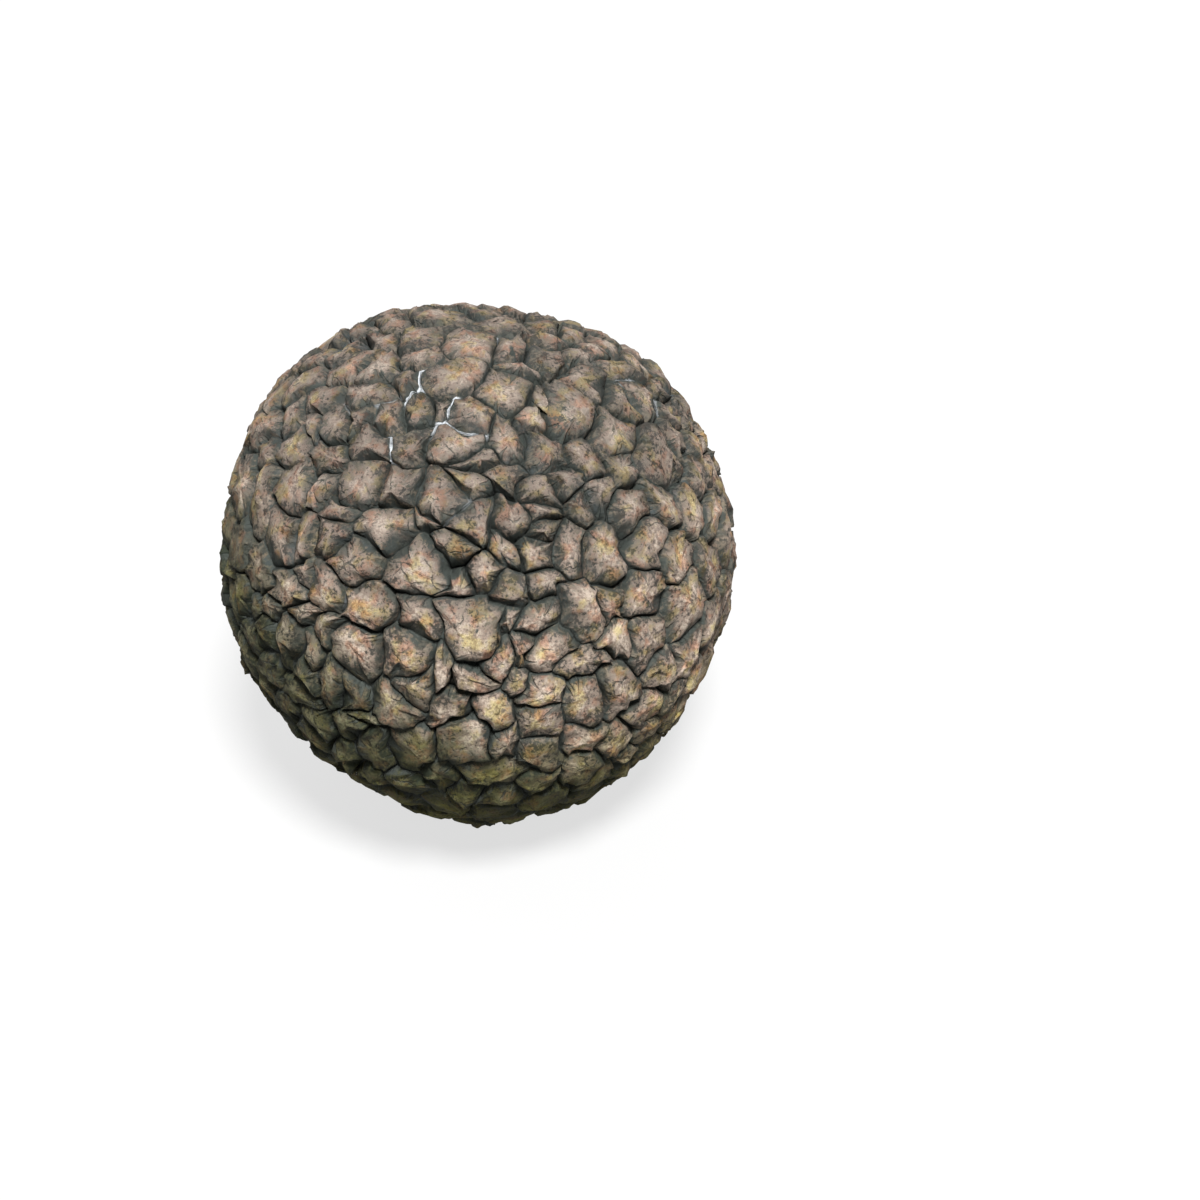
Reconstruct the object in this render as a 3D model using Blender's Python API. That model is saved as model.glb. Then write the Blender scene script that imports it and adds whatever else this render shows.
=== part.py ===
"""A whole black truffle: one lumpy, nearly round solid, paved all over with low pyramid warts.

The row frame is in metres, with +Z up. The origin is the middle of the bounding box's floor, and the
front of the truffle faces -Y. The warts are the cells of a Voronoi pattern of scattered centres, and
each wart is a fan of wedges: one wedge for every neighbour, from the wart's top down to the furrow
that the two share.
"""

import math

import bmesh
import bpy
import numpy as np

# The body
HALF_WIDTH = 0.0298  # left to right
HALF_DEPTH = 0.0312  # front to back
HALF_HEIGHT = 0.0292
REST_RADIUS = 0.0075  # the spot under the truffle where the warts' tops are worn flat, and it lies on
FRONT_ELEVATION = math.radians(35)  # how far above level the front is looked at from

# Swellings (+) and hollows (-) of the outline as seen from the front: the angle round the outline,
# counted from the right hand side through the top, the height in metres and the reach in degrees
OUTLINE_SWELLINGS = (
    (142, 0.0017, 26),
    (112, 0.0001, 14),
    (78, -0.0002, 20),
    (52, 0.0015, 22),
    (224, -0.0021, 22),
    (244, -0.0011, 18),
    (200, -0.0003, 14),
    (330, -0.0008, 30),
)
# The same away from the outline: azimuth from the front towards the right, elevation, height, reach
BODY_SWELLINGS = (
    (-30, 35, 0.0006, 22),
    (28, 8, -0.0007, 20),
    (10, 60, -0.0006, 18),
    (150, 20, -0.0018, 24),
    (205, 40, 0.0012, 26),
    (180, -30, 0.0010, 26),
    (110, -10, 0.0008, 22),
    (255, 5, -0.0012, 22),
)

# Where the front is seen from, and the middle of what is seen: metres to the right of the body's middle,
# above it and towards the front, along the front view's own axes
EYE = np.array((0.01438, -0.00417, 0.33186))
VIEW_MIDDLE = np.array((0.00033, 0.00053, 0.00016))
VIEW_HALF = 0.0302  # what a share of 1 measures there
SIGHT_ROUNDS = 3  # of finding where a line of sight meets the body

# The warts of the front: shares of the view's half to the right of its middle and above it, and
# millimetres across. The rest are scattered round them
BOLD_WARTS = (
    (-0.16, 0.95, 6.0), (-0.34, 0.91, 3.5), (-0.39, 0.86, 3.0), (-0.46, 0.87, 3.2), (-0.52, 0.85, 3.2),
    (-0.53, 0.74, 4.5), (-0.4, 0.75, 3.8), (-0.29, 0.7, 4.0), (-0.43, 0.66, 4.6), (-0.7, 0.68, 3.6),
    (-0.6, 0.64, 3.0), (-0.73, 0.555, 3.8), (-0.79, 0.62, 3.0), (-0.62, 0.77, 2.8), (-0.565, 0.54, 3.8),
    (-0.47, 0.565, 3.0), (-0.37, 0.56, 3.4), (-0.44, 0.47, 4.0), (-0.86, 0.53, 3.0), (-0.66, 0.52, 2.6),
    (-0.73, 0.435, 4.6), (-0.84, 0.42, 3.2), (-0.59, 0.4, 4.6), (-0.28, 0.44, 5.0), (0.08, 0.915, 6.0),
    (0.26, 0.9, 3.4), (0.255, 0.77, 4.2), (0.36, 0.88, 3.6), (0.48, 0.86, 3.0), (-0.07, 0.85, 5.2),
    (-0.22, 0.8, 4.8), (0.11, 0.82, 4.0), (0.14, 0.75, 3.0), (-0.095, 0.71, 5.2), (0.11, 0.66, 6.2),
    (0.41, 0.69, 5.0), (0.38, 0.8, 3.6), (0.52, 0.76, 4.6), (0.57, 0.81, 2.6), (0.36, 0.57, 6.6),
    (0.53, 0.63, 3.8), (0.62, 0.66, 3.6), (0.22, 0.55, 3.6), (0.26, 0.6, 2.4), (-0.24, 0.6, 3.8),
    (-0.15, 0.59, 2.6), (-0.04, 0.56, 4.8), (0.09, 0.475, 5.0), (-0.11, 0.45, 5.0), (0.26, 0.43, 5.0),
    (0.52, 0.5, 4.6), (0.42, 0.39, 3.5), (-0.48, 0.305, 4.6), (-0.54, 0.22, 3.0), (-0.62, 0.28, 2.6),
    (-0.73, 0.27, 4.6), (-0.87, 0.25, 3.8), (-0.335, 0.29, 4.0), (-0.37, 0.13, 6.0), (-0.58, 0.11, 3.6),
    (-0.69, 0.08, 4.0), (-0.79, 0.12, 3.8), (-0.5, -0.01, 4.8), (-0.26, -0.04, 6.8), (-0.86, -0.05, 4.0),
    (-0.59, -0.12, 4.8), (-0.68, -0.035, 2.8), (-0.75, -0.13, 4.6), (-0.43, -0.18, 5.4),
    (-0.86, -0.26, 3.8), (-0.93, -0.13, 2.8), (-0.62, -0.26, 3.8), (-0.75, -0.31, 3.6),
    (-0.16, 0.26, 5.0), (-0.065, 0.31, 3.8), (0.08, 0.31, 4.4), (0.22, 0.28, 3.8), (0.33, 0.31, 3.4),
    (0.11, 0.18, 4.4), (0.235, 0.18, 2.8), (0.24, 0.12, 2.8), (-0.22, 0.17, 2.6), (-0.02, 0.14, 3.6),
    (-0.12, 0.06, 4.0), (0.09, 0.055, 3.8), (0.21, 0.03, 3.6), (-0.09, -0.09, 3.2), (0.01, -0.045, 4.0),
    (0.12, -0.11, 4.2), (0.235, -0.09, 4.0), (-0.24, -0.22, 4.8), (-0.05, -0.26, 6.8),
    (0.085, -0.225, 3.2), (0.22, -0.23, 4.0), (-0.49, -0.36, 5.0), (-0.3, -0.36, 5.6),
    (-0.655, -0.37, 2.6), (-0.69, -0.43, 2.8), (-0.82, -0.44, 3.8), (-0.59, -0.48, 4.4),
    (-0.49, -0.53, 3.6), (-0.71, -0.52, 3.2), (-0.62, -0.63, 3.6), (-0.51, -0.63, 3.0),
    (-0.44, -0.61, 2.6), (-0.35, -0.58, 5.2), (-0.26, -0.49, 4.4), (-0.15, -0.44, 3.2),
    (-0.04, -0.46, 3.8), (0.08, -0.4, 4.4), (0.15, -0.33, 3.0), (0.15, -0.48, 3.8), (0.25, -0.36, 3.6),
    (0.23, -0.52, 3.8), (-0.15, -0.585, 4.6), (0.06, -0.6, 4.6), (0.22, -0.63, 4.0), (-0.42, -0.72, 3.6),
    (-0.26, -0.74, 4.6), (-0.08, -0.7, 5.0), (0.09, -0.71, 3.8), (0.21, -0.76, 4.2), (0.06, -0.82, 4.2),
    (-0.16, -0.84, 4.0), (0.22, -0.87, 4.0), (0.06, -0.92, 3.8), (-0.07, -0.91, 3.2), (-0.3, -0.86, 3.8),
    (-0.42, -0.84, 3.4), (-0.53, -0.77, 3.4),
)

# The warts
WART_SEED = 20
CLOSEST_WARTS = 0.0044  # least distance between two wart centres, where the warts are of middling size
SIZE_SPREAD = 0.20  # how far that distance swells and shrinks from patch to patch
DARTS = 30000
SETTLING_ROUNDS = 1
TOP_DRIFT = 0.19  # how far a wart's top lies off its centre, as a share of its radius
FURROW_DEPTH = 0.0010  # of a middling furrow, below the warts' shoulders
DEPTH_SPREAD = 0.28
PIT_SHARE = 0.05  # of the corners between warts that are sunk into pits
PIT_DEEPENING = 1.9
TOP_RISE = 0.00028  # of a middling wart's top above its shoulders
RISE_SPREAD = 0.00010
LEAN = 0.03  # slope at which a wart's top leans, in a direction of its own
SHOULDER_PLACE = 0.64  # where the shoulder lies on the way from the top to a corner
SHOULDER_SPREAD = 0.13
LONG_FURROW = 0.0025  # a furrow longer than this gets a point in its middle
MIDDLE_DEEPENING = 1.12  # a furrow is this much deeper in its middle than at its ends
WANDER = 0.00055  # how far the pattern is pushed about, so that no furrow is quite straight
WANDER_WAVES = 7
UNWINDING_ROUNDS = 4  # of finding the place that is pushed to a given one

CRUST_COLOUR = (0.115, 0.085, 0.062, 1.0)
CRUST_ROUGHNESS = 0.82


def unit(vectors):
    """The same vectors, each made one long."""
    return vectors / np.linalg.norm(vectors, axis=-1, keepdims=True)


def direction(azimuth, elevation):
    """The unit direction at an azimuth from the front towards the right, and an elevation, in degrees."""
    a, e = math.radians(azimuth), math.radians(elevation)
    return np.array((math.sin(a) * math.cos(e), -math.cos(a) * math.cos(e), math.sin(e)))


def front_direction(right, up, near=0.0):
    """The unit direction to a place right of the body's middle, above it and near the eye, along the
    front view's own axes."""
    sine, cosine = math.sin(FRONT_ELEVATION), math.cos(FRONT_ELEVATION)
    return unit(np.array((right, up * sine - near * cosine, up * cosine + near * sine)))


def swellings():
    """All swellings as rows of a unit direction, a height and the cosine fall-off of the reach."""
    rows = []
    for angle, height, reach in OUTLINE_SWELLINGS:
        place = math.radians(angle)
        rows.append((front_direction(math.cos(place), math.sin(place)), height, reach))
    rows += [(direction(a, e), h, r) for a, e, h, r in BODY_SWELLINGS]
    return [(d, h, 1.0 - math.cos(math.radians(r))) for d, h, r in rows]


def body_radius(directions):
    """Distance from the middle to the smooth body: an ellipsoid, plus h exp(-(1 - cos) / fall) for
    each swelling of height h, where cos is of the angle to the swelling's own direction."""
    halves = np.array((HALF_WIDTH, HALF_DEPTH, HALF_HEIGHT))
    radius = 1.0 / np.linalg.norm(directions / halves, axis=-1)
    for towards, height, fall in swellings():
        radius = radius + height * np.exp((directions @ towards - 1.0) / fall)
    return radius


def seen_direction(right, up):
    """The unit direction to what the eye sees at a place right of the view's middle and above it, in
    shares of the view's half: where the line of sight meets the body."""
    aim = VIEW_MIDDLE + VIEW_HALF * np.array((right, up, 0.0))
    sight = unit(EYE - aim)
    along = aim @ sight
    radius = HALF_WIDTH
    for _ in range(SIGHT_ROUNDS):
        way = math.sqrt(max(0.0, along**2 - aim @ aim + radius**2)) - along
        towards = front_direction(*(aim + way * sight))
        radius = body_radius(towards[None])[0]
    return towards


def waves(rng, count, longest, shortest):
    """Random plane waves: wave vectors per metre, phases and strengths, for wave_sum."""
    lengths = np.geomspace(longest, shortest, count)
    vectors = unit(rng.normal(size=(count, 3))) * (2.0 * math.pi / lengths)[:, None]
    return vectors, rng.uniform(0.0, 2.0 * math.pi, count), np.full(count, math.sqrt(2.0 / count))


def wave_sum(points, bundle):
    """The sum of sines, strength sin(vector . point + phase), over a bundle of waves."""
    vectors, phases, strengths = bundle
    return np.sin(points @ vectors.T + phases) @ strengths


def push(directions, wander):
    """How far the pattern is pushed about, by three sums of long waves, one for each axis."""
    waving = [wave_sum(directions * HALF_WIDTH, bundle) for bundle in wander]
    return WANDER / HALF_WIDTH * np.stack(waving, axis=-1)


def wandered(directions, pattern):
    """The directions pushed about."""
    return unit(directions + push(directions, pattern["wander"]))


def front_places(rows, wander):
    """The directions, before they wander, of rows that begin with a place in the front view."""
    seen = np.array([seen_direction(row[0], row[1]) for row in rows])
    found = seen
    for _ in range(UNWINDING_ROUNDS):
        found = unit(seen - push(found, wander))
    return found


def scatter_warts(rng, wander):
    """Wart centres as unit directions, and the warts' radii as angles: the ones of the front, one right
    under the truffle, and darts thrown at the sphere one after another. Each dart stays if it is clear of
    all before it by the distance wanted there."""
    size = 0.5 * (HALF_WIDTH + HALF_DEPTH)
    patches = waves(rng, 6, 0.055, 0.016)
    darts = unit(rng.normal(size=(DARTS, 3)))
    wanted = CLOSEST_WARTS / size * np.exp(SIZE_SPREAD * wave_sum(darts * size, patches))
    wanted *= rng.choice((0.86, 1.0, 1.22), DARTS, p=(0.45, 0.35, 0.20))
    kept = np.vstack((front_places(BOLD_WARTS, wander), (0.0, 0.0, -1.0)))
    clearances = np.array([0.001 * across for _, _, across in BOLD_WARTS] + [CLOSEST_WARTS]) / size
    for dart, clearance in zip(darts, wanted):
        apart = np.linalg.norm(kept - dart, axis=1)
        if np.all(apart > 0.5 * (clearances + clearance)):
            kept = np.vstack((kept, dart))
            clearances = np.append(clearances, clearance)
    return kept, 0.5 * clearances


def weighted(centres, radii):
    """The centres pushed outwards by their warts' size, centre / cos(radius), so that the furrow between
    a wide wart and a narrow one runs nearer to the narrow one."""
    return centres / np.cos(radii)[:, None]


def neighbour_triangles(centres):
    """The triangles of neighbouring warts, which are the faces of the weighted centres' convex hull, as
    rows of three wart numbers, turned to face outwards."""
    hull = bmesh.new()
    for number, centre in enumerate(centres):
        hull.verts.new(centre).index = number
    hull.verts.ensure_lookup_table()
    bmesh.ops.convex_hull(hull, input=hull.verts, use_existing_faces=False)
    bmesh.ops.triangulate(hull, faces=hull.faces)
    faces = np.array([[v.index for v in face.verts] for face in hull.faces])
    hull.free()
    a, b, c = (centres[faces[:, k]] for k in range(3))
    inwards = np.einsum("ij,ij->i", np.cross(b - a, c - a), a + b + c) < 0.0
    faces[inwards] = faces[inwards][:, ::-1]
    return faces


def furrow_corners(centres, faces):
    """The point where three warts meet: the direction square to their weighted centres' triangle."""
    a, b, c = (centres[faces[:, k]] for k in range(3))
    return unit(np.cross(b - a, c - a))


def wedge_table(faces):
    """Every wedge as a wart's number, its neighbour's, and the numbers of the two corners between them,
    counted the way that keeps the wart on the left."""
    first = faces.ravel()
    second = np.roll(faces, -1, axis=1).ravel()
    owner = np.repeat(np.arange(len(faces)), 3)
    count = int(faces.max()) + 1
    order = np.argsort(first * count + second)
    keys = (first * count + second)[order]
    twin = order[np.searchsorted(keys, second * count + first)]
    return first, second, owner[twin], owner


def previous_wedges(pattern):
    """For every wedge, the number of the wedge of the same wart that ends where it begins."""
    wart, before, after = pattern["wart"], pattern["before"], pattern["after"]
    count = len(pattern["corners"])
    order = np.argsort(wart * count + after)
    keys = (wart * count + after)[order]
    return order[np.searchsorted(keys, wart * count + before)]


def settle(centres, radii):
    """One round of Lloyd's rule: each centre moves to the middle of its own cell's corners, but those of
    the front stay."""
    points = weighted(centres, radii)
    faces = neighbour_triangles(points)
    corners = furrow_corners(points, faces)
    total = np.zeros_like(centres)
    for k in range(3):
        np.add.at(total, faces[:, k], corners)
    settled = unit(total)
    settled[: len(BOLD_WARTS)] = centres[: len(BOLD_WARTS)]
    return settled


def wart_pattern():
    """The pattern of warts and all its random draws, in a fixed order."""
    rng = np.random.default_rng(WART_SEED)
    wander = [waves(rng, WANDER_WAVES, 0.022, 0.0045) for _ in range(3)]
    centres, radii = scatter_warts(rng, wander)
    for _ in range(SETTLING_ROUNDS):
        centres = settle(centres, radii)
    points = weighted(centres, radii)
    faces = neighbour_triangles(points)
    corners = furrow_corners(points, faces)
    wart, neighbour, before, after = wedge_table(faces)
    cell_radius = np.zeros(len(centres))
    reach = np.linalg.norm(corners[after] - centres[wart], axis=1)
    np.add.at(cell_radius, wart, reach)
    cell_radius /= np.bincount(wart, minlength=len(centres))
    drift = TOP_DRIFT * cell_radius[:, None] * rng.normal(size=centres.shape)
    corner_depth = FURROW_DEPTH * np.exp(DEPTH_SPREAD * rng.normal(size=len(corners)))
    corner_depth[rng.random(len(corners)) < PIT_SHARE] *= PIT_DEEPENING
    return {
        "centres": centres,
        "corners": corners,
        "tops": unit(centres + drift),
        "wart": wart,
        "neighbour": neighbour,
        "before": before,
        "after": after,
        "cell_radius": cell_radius,
        "corner_depth": corner_depth,
        "top_rise": TOP_RISE + RISE_SPREAD * rng.normal(size=len(centres)),
        "lean": LEAN * rng.normal(size=centres.shape),
        "shoulder": SHOULDER_PLACE + SHOULDER_SPREAD * rng.uniform(-1, 1, size=len(wart)),
        "wander": wander,
    }


def floor_height():
    """Height of the resting plane, from the middle: where the body crosses it at the spot's rim."""
    rim = unit(np.array((REST_RADIUS, 0.0, -HALF_HEIGHT)))
    return float((rim * body_radius(rim[None])[0])[2])


def surface_points(directions, heights, pattern):
    """Points of the crust: the body's radius plus the height, along the wandered direction, and no lower
    than the resting plane."""
    towards = wandered(directions, pattern)
    points = towards * (body_radius(towards) + heights)[..., None]
    points[..., 2] = np.maximum(points[..., 2], floor_height())
    return points


def high_points(pattern):
    """The tops of the warts, and the shoulders round them: one shoulder towards each corner of each
    wart, numbered by the wedge that ends at that corner. A shoulder's height is what the wart leans."""
    tops, wart = pattern["tops"], pattern["wart"]
    way = pattern["shoulder"][:, None]
    shoulders = unit(tops[wart] * (1.0 - way) + pattern["corners"][pattern["after"]] * way)
    leaning = np.sum(pattern["lean"][wart] * (shoulders - tops[wart]), axis=1) * HALF_WIDTH
    return (
        surface_points(tops, pattern["top_rise"], pattern),
        surface_points(shoulders, leaning, pattern),
    )


def middle_of_floor(pattern):
    """The middle of the floor of the box round the high points, which is the origin of the row."""
    highest = np.vstack(high_points(pattern))
    low, high = highest.min(axis=0), highest.max(axis=0)
    return np.array((0.5 * (low[0] + high[0]), 0.5 * (low[1] + high[1]), floor_height()))


def solid_mesh(pattern):
    """Points and triangles of the whole truffle. Each wedge has one triangle on its wart's top, and two
    or three down its side to the furrow."""
    corners, wart = pattern["corners"], pattern["wart"]
    before, after = pattern["before"], pattern["after"]
    wart_count, corner_count, wedge_count = len(pattern["tops"]), len(corners), len(wart)
    tops, shoulders = high_points(pattern)
    wedge_before = previous_wedges(pattern)

    # A furrow's middle point is shared by the two wedges on its sides
    span = np.linalg.norm(corners[after] - corners[before], axis=1) * HALF_WIDTH
    is_long = span > LONG_FURROW
    owns = is_long & (before < after)
    middle_number = {}
    for k in np.flatnonzero(owns):
        middle_number[int(before[k]), int(after[k])] = len(middle_number)
    middle_pairs = np.array(list(middle_number))
    middles = unit(corners[middle_pairs[:, 0]] + corners[middle_pairs[:, 1]])

    depth = pattern["corner_depth"]
    middle_depth = MIDDLE_DEEPENING * 0.5 * depth[middle_pairs].sum(axis=1)
    low_directions = np.vstack((corners, middles))
    low_heights = -np.concatenate((depth, middle_depth))
    furrows = surface_points(low_directions, low_heights, pattern)
    points = np.vstack((tops, shoulders, furrows)) - middle_of_floor(pattern)

    shoulder_start = wart_count
    corner_start = shoulder_start + wedge_count
    middle_start = corner_start + corner_count
    triangles = []
    for k in range(wedge_count):
        top = int(wart[k])
        left, right = shoulder_start + int(wedge_before[k]), shoulder_start + k
        low_left, low_right = corner_start + int(before[k]), corner_start + int(after[k])
        triangles.append((top, left, right))
        if is_long[k]:
            pair = (min(int(before[k]), int(after[k])), max(int(before[k]), int(after[k])))
            middle = middle_start + middle_number[pair]
            triangles += [(left, middle, right), (left, low_left, middle), (right, middle, low_right)]
        else:
            triangles += [(left, low_left, low_right), (left, low_right, right)]
    return points, triangles


def crust_material():
    material = bpy.data.materials.new("crust")
    material.use_nodes = True
    shader = material.node_tree.nodes["Principled BSDF"]
    shader.inputs["Base Color"].default_value = CRUST_COLOUR
    shader.inputs["Roughness"].default_value = CRUST_ROUGHNESS
    shader.inputs["Metallic"].default_value = 0.0
    return material


def build_truffle():
    points, triangles = solid_mesh(wart_pattern())
    mesh = bpy.data.meshes.new("truffle")
    mesh.from_pydata(points.tolist(), [], triangles)
    mesh.validate()
    mesh.materials.append(crust_material())
    truffle = bpy.data.objects.new("truffle", mesh)
    bpy.context.scene.collection.objects.link(truffle)


def clear_scene():
    for thing in list(bpy.data.objects):
        bpy.data.objects.remove(thing, do_unlink=True)


clear_scene()
build_truffle()
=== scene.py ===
"""The looks of a whole black truffle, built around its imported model.

The crust is worked out from the same pattern of warts as the solid, with more points in every wart, so
each wart stands where its coarse one does.
"""

import math

import bmesh
import bpy
import numpy as np
from bpy.props import FloatProperty, FloatVectorProperty, PointerProperty
from mathutils import Euler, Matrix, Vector


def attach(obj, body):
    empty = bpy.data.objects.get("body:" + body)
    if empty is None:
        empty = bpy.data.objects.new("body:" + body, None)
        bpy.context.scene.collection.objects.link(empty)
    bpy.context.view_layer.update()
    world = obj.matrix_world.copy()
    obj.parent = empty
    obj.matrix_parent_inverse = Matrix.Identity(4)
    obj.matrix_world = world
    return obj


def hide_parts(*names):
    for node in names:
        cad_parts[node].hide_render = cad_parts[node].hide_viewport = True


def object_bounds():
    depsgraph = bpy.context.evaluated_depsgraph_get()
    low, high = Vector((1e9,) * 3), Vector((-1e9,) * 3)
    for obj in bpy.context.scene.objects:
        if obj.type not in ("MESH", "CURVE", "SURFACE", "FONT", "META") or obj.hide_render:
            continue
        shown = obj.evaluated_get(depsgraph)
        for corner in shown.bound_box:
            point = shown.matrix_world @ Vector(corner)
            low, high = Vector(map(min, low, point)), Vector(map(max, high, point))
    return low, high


bl_info = {
    "name": "Black Truffle",
    "version": (1, 0, 0),
    "blender": (4, 5, 0),
    "location": "View3D > Sidebar > Truffle",
    "description": "Builds the fine crust of a whole black truffle, and the stage it stands on",
    "category": "Add Mesh",
}

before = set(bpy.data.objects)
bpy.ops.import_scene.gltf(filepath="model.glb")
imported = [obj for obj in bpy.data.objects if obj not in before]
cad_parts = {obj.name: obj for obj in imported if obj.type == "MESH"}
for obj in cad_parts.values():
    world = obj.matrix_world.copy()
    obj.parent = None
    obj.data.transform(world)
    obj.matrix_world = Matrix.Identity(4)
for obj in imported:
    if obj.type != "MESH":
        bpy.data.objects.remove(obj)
CAD_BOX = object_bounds()

# The body, as in the solid
HALF_WIDTH = 0.0298  # left to right
HALF_DEPTH = 0.0312  # front to back
HALF_HEIGHT = 0.0292
REST_RADIUS = 0.0075  # the spot under the truffle where the warts' tops are worn flat
FRONT_ELEVATION = math.radians(35)  # how far above level the front is looked at from
# Round the outline seen from the front: angle from the right through the top, height, reach in degrees
OUTLINE_SWELLINGS = (
    (142, 0.0017, 26),
    (112, 0.0001, 14),
    (78, -0.0002, 20),
    (52, 0.0015, 22),
    (224, -0.0021, 22),
    (244, -0.0011, 18),
    (200, -0.0003, 14),
    (330, -0.0008, 30),
)
# Azimuth from the front towards the right, elevation, height, reach in degrees
BODY_SWELLINGS = (
    (-30, 35, 0.0006, 22),
    (28, 8, -0.0007, 20),
    (10, 60, -0.0006, 18),
    (150, 20, -0.0018, 24),
    (205, 40, 0.0012, 26),
    (180, -30, 0.0010, 26),
    (110, -10, 0.0008, 22),
    (255, 5, -0.0012, 22),
)
# Where the front is seen from, and the middle of what is seen: metres to the right of the body's middle,
# above it and towards the front, along the front view's own axes
EYE = np.array((0.01438, -0.00417, 0.33186))
VIEW_MIDDLE = np.array((0.00033, 0.00053, 0.00016))
VIEW_HALF = 0.0302
SIGHT_ROUNDS = 3
# The warts of the front: shares of the view's half to the right of its middle and above it, and
# millimetres across
BOLD_WARTS = (
    (-0.16, 0.95, 6.0), (-0.34, 0.91, 3.5), (-0.39, 0.86, 3.0), (-0.46, 0.87, 3.2), (-0.52, 0.85, 3.2),
    (-0.53, 0.74, 4.5), (-0.4, 0.75, 3.8), (-0.29, 0.7, 4.0), (-0.43, 0.66, 4.6), (-0.7, 0.68, 3.6),
    (-0.6, 0.64, 3.0), (-0.73, 0.555, 3.8), (-0.79, 0.62, 3.0), (-0.62, 0.77, 2.8), (-0.565, 0.54, 3.8),
    (-0.47, 0.565, 3.0), (-0.37, 0.56, 3.4), (-0.44, 0.47, 4.0), (-0.86, 0.53, 3.0), (-0.66, 0.52, 2.6),
    (-0.73, 0.435, 4.6), (-0.84, 0.42, 3.2), (-0.59, 0.4, 4.6), (-0.28, 0.44, 5.0), (0.08, 0.915, 6.0),
    (0.26, 0.9, 3.4), (0.255, 0.77, 4.2), (0.36, 0.88, 3.6), (0.48, 0.86, 3.0), (-0.07, 0.85, 5.2),
    (-0.22, 0.8, 4.8), (0.11, 0.82, 4.0), (0.14, 0.75, 3.0), (-0.095, 0.71, 5.2), (0.11, 0.66, 6.2),
    (0.41, 0.69, 5.0), (0.38, 0.8, 3.6), (0.52, 0.76, 4.6), (0.57, 0.81, 2.6), (0.36, 0.57, 6.6),
    (0.53, 0.63, 3.8), (0.62, 0.66, 3.6), (0.22, 0.55, 3.6), (0.26, 0.6, 2.4), (-0.24, 0.6, 3.8),
    (-0.15, 0.59, 2.6), (-0.04, 0.56, 4.8), (0.09, 0.475, 5.0), (-0.11, 0.45, 5.0), (0.26, 0.43, 5.0),
    (0.52, 0.5, 4.6), (0.42, 0.39, 3.5), (-0.48, 0.305, 4.6), (-0.54, 0.22, 3.0), (-0.62, 0.28, 2.6),
    (-0.73, 0.27, 4.6), (-0.87, 0.25, 3.8), (-0.335, 0.29, 4.0), (-0.37, 0.13, 6.0), (-0.58, 0.11, 3.6),
    (-0.69, 0.08, 4.0), (-0.79, 0.12, 3.8), (-0.5, -0.01, 4.8), (-0.26, -0.04, 6.8), (-0.86, -0.05, 4.0),
    (-0.59, -0.12, 4.8), (-0.68, -0.035, 2.8), (-0.75, -0.13, 4.6), (-0.43, -0.18, 5.4),
    (-0.86, -0.26, 3.8), (-0.93, -0.13, 2.8), (-0.62, -0.26, 3.8), (-0.75, -0.31, 3.6),
    (-0.16, 0.26, 5.0), (-0.065, 0.31, 3.8), (0.08, 0.31, 4.4), (0.22, 0.28, 3.8), (0.33, 0.31, 3.4),
    (0.11, 0.18, 4.4), (0.235, 0.18, 2.8), (0.24, 0.12, 2.8), (-0.22, 0.17, 2.6), (-0.02, 0.14, 3.6),
    (-0.12, 0.06, 4.0), (0.09, 0.055, 3.8), (0.21, 0.03, 3.6), (-0.09, -0.09, 3.2), (0.01, -0.045, 4.0),
    (0.12, -0.11, 4.2), (0.235, -0.09, 4.0), (-0.24, -0.22, 4.8), (-0.05, -0.26, 6.8),
    (0.085, -0.225, 3.2), (0.22, -0.23, 4.0), (-0.49, -0.36, 5.0), (-0.3, -0.36, 5.6),
    (-0.655, -0.37, 2.6), (-0.69, -0.43, 2.8), (-0.82, -0.44, 3.8), (-0.59, -0.48, 4.4),
    (-0.49, -0.53, 3.6), (-0.71, -0.52, 3.2), (-0.62, -0.63, 3.6), (-0.51, -0.63, 3.0),
    (-0.44, -0.61, 2.6), (-0.35, -0.58, 5.2), (-0.26, -0.49, 4.4), (-0.15, -0.44, 3.2),
    (-0.04, -0.46, 3.8), (0.08, -0.4, 4.4), (0.15, -0.33, 3.0), (0.15, -0.48, 3.8), (0.25, -0.36, 3.6),
    (0.23, -0.52, 3.8), (-0.15, -0.585, 4.6), (0.06, -0.6, 4.6), (0.22, -0.63, 4.0), (-0.42, -0.72, 3.6),
    (-0.26, -0.74, 4.6), (-0.08, -0.7, 5.0), (0.09, -0.71, 3.8), (0.21, -0.76, 4.2), (0.06, -0.82, 4.2),
    (-0.16, -0.84, 4.0), (0.22, -0.87, 4.0), (0.06, -0.92, 3.8), (-0.07, -0.91, 3.2), (-0.3, -0.86, 3.8),
    (-0.42, -0.84, 3.4), (-0.53, -0.77, 3.4),
)

# The warts, as in the solid
WART_SEED = 20
CLOSEST_WARTS = 0.0044  # between the middles of two middling warts
SIZE_SPREAD = 0.20  # of the logarithm of that distance, from place to place
SIZE_WAVES = (6, 0.055, 0.016)  # how many, the longest and the shortest
SIZE_STEPS = (0.86, 1.0, 1.22)  # and its sizes from wart to wart, and how often each is drawn
SIZE_ODDS = (0.45, 0.35, 0.20)
DARTS = 30000
SETTLING_ROUNDS = 1
TOP_DRIFT = 0.19  # from a wart's middle, as a share of its radius
FURROW_DEPTH = 0.0010
DEPTH_SPREAD = 0.28
PIT_SHARE = 0.05  # of the corners where three warts meet
PIT_DEEPENING = 1.9
TOP_RISE = 0.00028
RISE_SPREAD = 0.00010
LEAN = 0.03
SHOULDER_PLACE = 0.64  # share of the way from a top to a corner
SHOULDER_SPREAD = 0.13
MIDDLE_DEEPENING = 1.12  # of a furrow between two corners
WANDER = 0.00055  # how far the furrows are pushed about
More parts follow.
